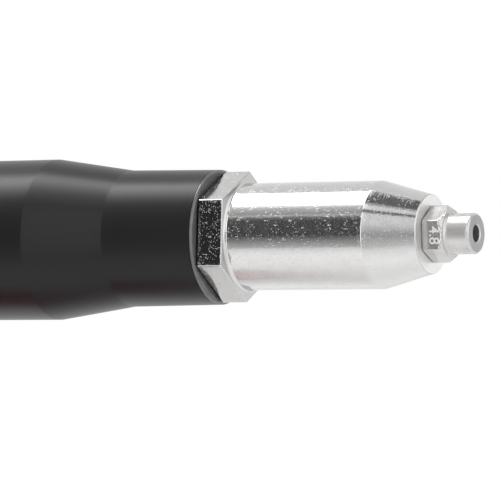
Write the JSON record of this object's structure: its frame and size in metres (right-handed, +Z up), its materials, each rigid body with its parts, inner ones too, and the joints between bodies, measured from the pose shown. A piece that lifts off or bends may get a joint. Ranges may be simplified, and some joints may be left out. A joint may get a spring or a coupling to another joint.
{
  "type": "battery electric riveter",
  "caption": "Battery-powered pistol-grip tool that sets blind rivets: motor, gearbox and ball screw pull a three-jaw chuck back inside a long nose.",
  "frame": {"origin": "centre of the underside of the battery pack, the face the tool stands on", "axes": "+X along the nose axis towards the rivet, +Y to the user's left, +Z up"},
  "size_m": [0.2528, 0.074, 0.195],
  "materials": {
    "plated_steel": "bright nickel plating with fine pitting",
    "black_steel": "satin black",
    "dark_steel": "blackened, oiled",
    "bright_steel": "ground",
    "spring_steel": "drawn wire",
    "bronze": "machined bronze",
    "elastomer": "matt",
    "cast_alloy": "die cast",
    "ferrite": "ground ceramic magnet",
    "copper": "copper, enamelled",
    "white_plastic": "moulded",
    "black_plastic": "fine spark texture",
    "red_plastic": "fine spark texture",
    "black_rubber": "soft overmould",
    "carbon": "carbon",
    "clear_lens": "clear lens",
    "board_green": "circuit board",
    "cell_wrap": "shrink sleeve"
  },
  "bodies": {
    "tool": {"nosepiece": "plated_steel", "nose_sleeve": "plated_steel", "barrel": "black_steel", "return_buffer": "elastomer", "thrust_plate": "dark_steel", "thrust_bearing": "bright_steel", "screw_bearing": "bright_steel", "gear_case": "cast_alloy", "case_screws": "dark_steel", "ring_gear": "dark_steel", "motor_plate": "cast_alloy", "motor_can": "plated_steel", "motor_magnets": "ferrite", "motor_bushes": "bronze", "brush_cap": "black_plastic", "brushes": "carbon", "housing_left": "red_plastic", "housing_right": "red_plastic", "housing_screws": "dark_steel", "mouth_ring": "black_plastic", "grip_cover_left": "black_rubber", "grip_cover_right": "black_rubber", "trigger_spring": "spring_steel", "switch_module": "black_plastic", "work_light": "clear_lens", "control_board": "board_green", "terminal_block": "black_plastic", "battery_case": "black_plastic", "battery_lid": "black_plastic", "battery_cells": "cell_wrap", "battery_board": "board_green", "latch_spring": "spring_steel"},
    "pull_head": {"jaw_case": "dark_steel", "draw_tube": "bright_steel", "screw_nut": "bronze", "nut_key": "bright_steel", "jaw_spring": "spring_steel"},
    "pusher": {"jaw_pusher": "bright_steel"},
    "jaw_a": {"jaw_1": "dark_steel"},
    "jaw_b": {"jaw_2": "dark_steel"},
    "jaw_c": {"jaw_3": "dark_steel"},
    "screw": {"drive_screw": "bright_steel", "thrust_race": "bright_steel", "screw_bearing_race": "bright_steel", "output_carrier": "bright_steel"},
    "output_planet_a": {"output_planet_1": "dark_steel"},
    "output_planet_b": {"output_planet_2": "dark_steel"},
    "output_planet_c": {"output_planet_3": "dark_steel"},
    "first_stage": {"first_carrier": "bright_steel"},
    "first_planet_a": {"first_planet_1": "dark_steel"},
    "first_planet_b": {"first_planet_2": "dark_steel"},
    "first_planet_c": {"first_planet_3": "dark_steel"},
    "rotor": {"motor_shaft": "bright_steel", "armature_core": "dark_steel", "armature_windings": "copper", "commutator": "copper", "cooling_fan": "white_plastic", "motor_pinion": "bright_steel"},
    "trigger_piece": {"trigger": "black_plastic"},
    "latch_piece": {"latch_button": "red_plastic"}
  },
  "joints": [
    {"name": "motor_spin", "type": "hinge", "parent": "tool", "child": "rotor", "pos_m": [-0.03, 0, 0.17], "axis": [1, 0, 0], "range_deg": [0, 38400]},
    {"name": "first_carrier_spin", "type": "hinge", "parent": "tool", "child": "first_stage", "pos_m": [0, 0, 0.17], "axis": [1, 0, 0], "range_deg": [0, 9601]},
    {"name": "screw_spin", "type": "hinge", "parent": "tool", "child": "screw", "pos_m": [0.02, 0, 0.17], "axis": [1, 0, 0], "range_deg": [0, 2401]},
    {"name": "pull", "type": "slide", "parent": "tool", "child": "pull_head", "axis": [-1, 0, 0], "range_m": [0, 0.02]},
    {"name": "first_planet_a_spin", "type": "hinge", "parent": "first_stage", "child": "first_planet_a", "pos_m": [-0.004, 0, 0.1796], "axis": [1, 0, 0], "range_deg": [-28801, 0]},
    {"name": "output_planet_a_spin", "type": "hinge", "parent": "screw", "child": "output_planet_a", "pos_m": [0.004, 0, 0.1796], "axis": [1, 0, 0], "range_deg": [-7201, 0]},
    {"name": "first_planet_b_spin", "type": "hinge", "parent": "first_stage", "child": "first_planet_b", "pos_m": [-0.004, -0.00831, 0.1652], "axis": [1, 0, 0], "range_deg": [-28801, 0]},
    {"name": "output_planet_b_spin", "type": "hinge", "parent": "screw", "child": "output_planet_b", "pos_m": [0.004, -0.00831, 0.1652], "axis": [1, 0, 0], "range_deg": [-7201, 0]},
    {"name": "first_planet_c_spin", "type": "hinge", "parent": "first_stage", "child": "first_planet_c", "pos_m": [-0.004, 0.00831, 0.1652], "axis": [1, 0, 0], "range_deg": [-28801, 0]},
    {"name": "output_planet_c_spin", "type": "hinge", "parent": "screw", "child": "output_planet_c", "pos_m": [0.004, 0.00831, 0.1652], "axis": [1, 0, 0], "range_deg": [-7201, 0]},
    {"name": "pusher_slide", "type": "slide", "parent": "pull_head", "child": "pusher", "axis": [-1, 0, 0], "range_m": [0, 0.0015], "stiffness_N_per_m": 900, "springref_m": -0.006, "deforming": ["jaw_spring"]},
    {"name": "jaw_a_slide", "type": "slide", "parent": "pull_head", "child": "jaw_a", "axis": [-0.9864, 0, 0.1644], "range_m": [0, 0.00153]},
    {"name": "jaw_b_slide", "type": "slide", "parent": "pull_head", "child": "jaw_b", "axis": [-0.9864, -0.1424, -0.0822], "range_m": [0, 0.00153]},
    {"name": "jaw_c_slide", "type": "slide", "parent": "pull_head", "child": "jaw_c", "axis": [-0.9864, 0.1424, -0.0822], "range_m": [0, 0.00153]},
    {"name": "trigger_press", "type": "slide", "parent": "tool", "child": "trigger_piece", "axis": [-1, 0, 0], "range_m": [0, 0.006], "stiffness_N_per_m": 900, "springref_m": -0.004, "deforming": ["trigger_spring"]},
    {"name": "latch_press", "type": "slide", "parent": "tool", "child": "latch_piece", "axis": [0, 0, -1], "range_m": [0, 0.004], "stiffness_N_per_m": 1200, "springref_m": -0.003, "deforming": ["latch_spring"]}
  ],
  "couplings": [
    {"joint": "first_carrier_spin", "follows": "motor_spin", "ratio": 0.25},
    {"joint": "screw_spin", "follows": "motor_spin", "ratio": 0.0625},
    {"joint": "pull", "follows": "motor_spin", "m_per_rad": 0.000029841},
    {"joint": "first_planet_a_spin", "follows": "motor_spin", "ratio": -0.75},
    {"joint": "output_planet_a_spin", "follows": "motor_spin", "ratio": -0.1875},
    {"joint": "first_planet_b_spin", "follows": "motor_spin", "ratio": -0.75},
    {"joint": "output_planet_b_spin", "follows": "motor_spin", "ratio": -0.1875},
    {"joint": "first_planet_c_spin", "follows": "motor_spin", "ratio": -0.75},
    {"joint": "output_planet_c_spin", "follows": "motor_spin", "ratio": -0.1875},
    {"joint": "jaw_a_slide", "follows": "pusher_slide", "ratio": 1.0138},
    {"joint": "jaw_b_slide", "follows": "pusher_slide", "ratio": 1.0138},
    {"joint": "jaw_c_slide", "follows": "pusher_slide", "ratio": 1.0138}
  ]
}
